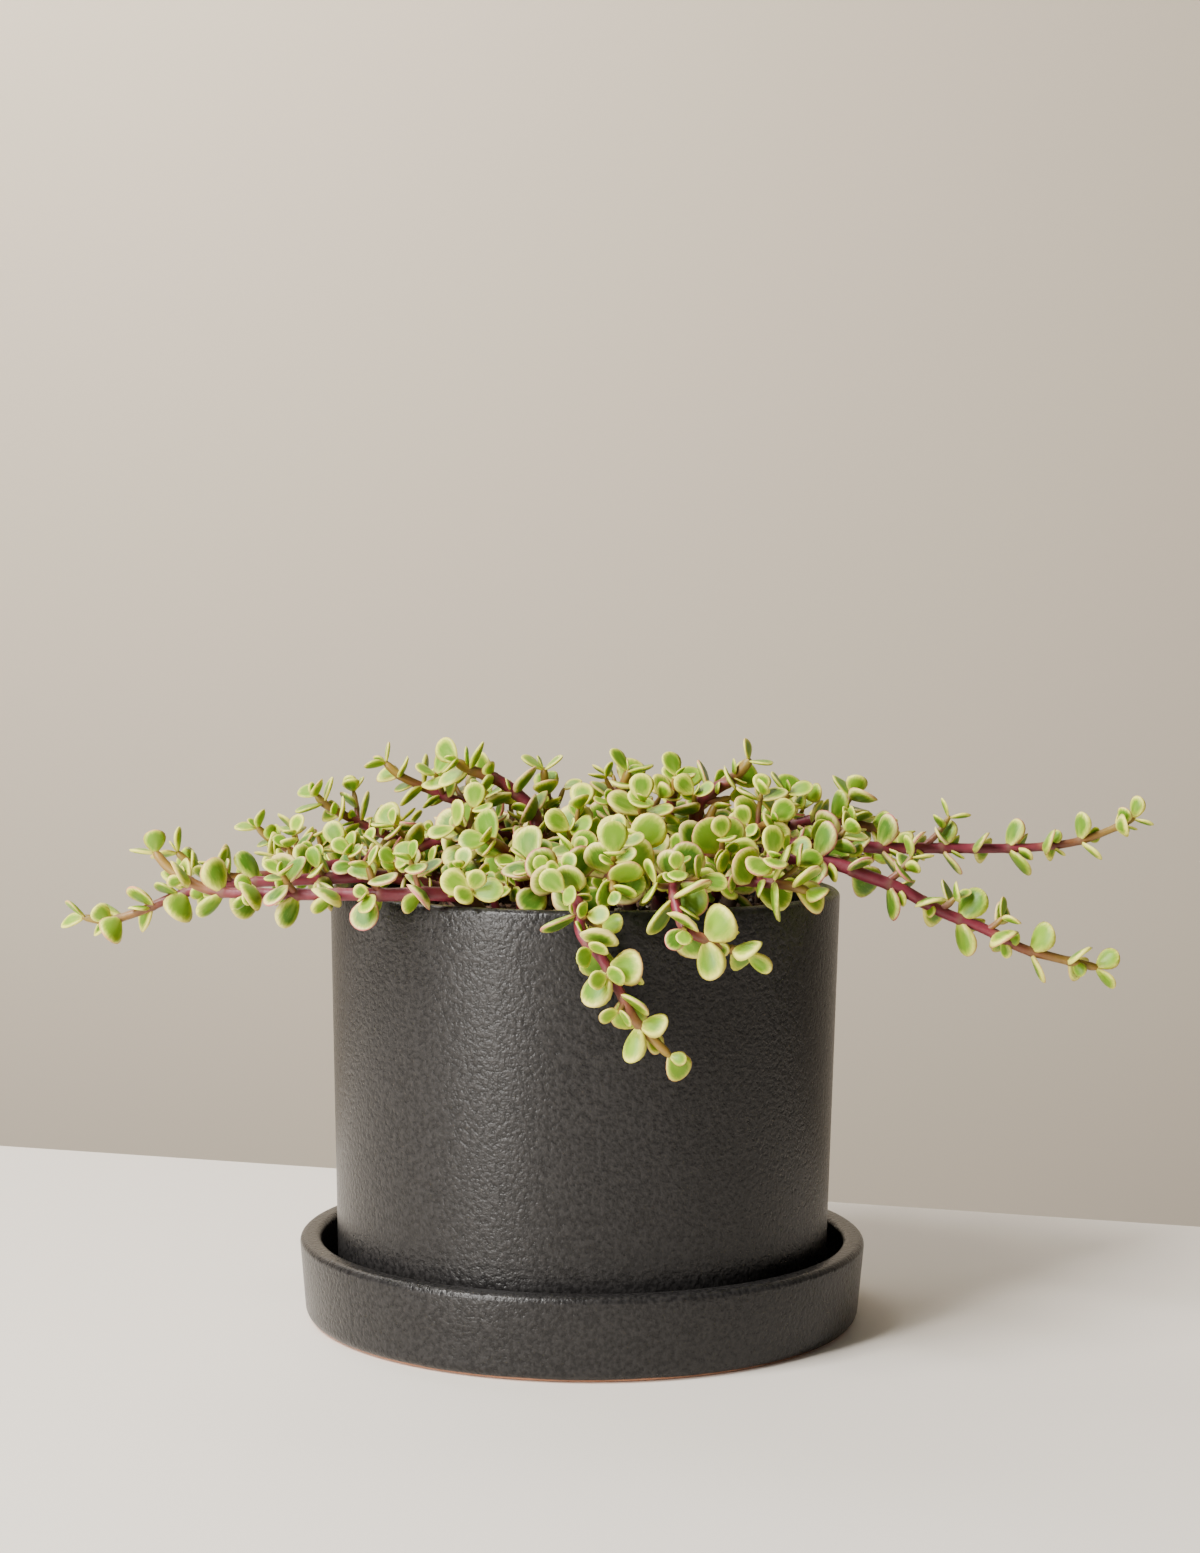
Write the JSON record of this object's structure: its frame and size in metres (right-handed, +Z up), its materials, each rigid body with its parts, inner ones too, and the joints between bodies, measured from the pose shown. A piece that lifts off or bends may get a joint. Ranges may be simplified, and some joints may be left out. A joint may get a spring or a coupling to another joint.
{
  "type": "potted succulent",
  "caption": "Variegated elephant bush with trailing leafy stems in a charcoal ceramic cylinder pot that stands in its matching saucer.",
  "frame": {"origin": "middle of the saucer's flat underside, on the surface that the pot stands on", "axes": "+Z up along the pot's axis; -Y to the front, where the longest stem hangs over the rim; +X to the right seen from the front"},
  "size_m": [0.3493, 0.2188, 0.1879],
  "materials": {
    "pot_glaze": "satin",
    "saucer_glaze": "satin",
    "soil": "matte",
    "leafy_stem": "satin"
  },
  "bodies": {
    "root": {"saucer": "saucer_glaze", "pot": "pot_glaze", "soil": "soil", "stem_front_hanging": "leafy_stem", "stem_front_rosette": "leafy_stem", "stem_front_right": "leafy_stem", "stem_right_front": "leafy_stem", "stem_left_low": "leafy_stem", "stem_left_far": "leafy_stem", "stem_left_arch": "leafy_stem", "stem_left_rise": "leafy_stem", "stem_left_back": "leafy_stem", "stem_left_top": "leafy_stem", "stem_crest_left": "leafy_stem", "stem_trunk_right": "leafy_stem", "stem_right_low": "leafy_stem", "stem_right_high": "leafy_stem", "stem_right_back": "leafy_stem", "stem_middle_front": "leafy_stem", "stem_middle_low": "leafy_stem", "stem_inner_right": "leafy_stem", "stem_peak_left": "leafy_stem", "stem_hump_left": "leafy_stem", "stem_hump_right": "leafy_stem", "stem_middle_top": "leafy_stem", "stem_shoulder_right": "leafy_stem", "shoot_left_rim": "leafy_stem", "shoot_left_inner": "leafy_stem", "shoot_left_side": "leafy_stem", "stem_left_mass": "leafy_stem", "stem_left_fold": "leafy_stem", "stem_right_mass": "leafy_stem", "stem_back_left": "leafy_stem", "stem_back_hanging": "leafy_stem", "stem_back_middle": "leafy_stem", "stem_back_right": "leafy_stem", "stem_back_side": "leafy_stem", "shoot_back_inner": "leafy_stem"}
  },
  "joints": []
}
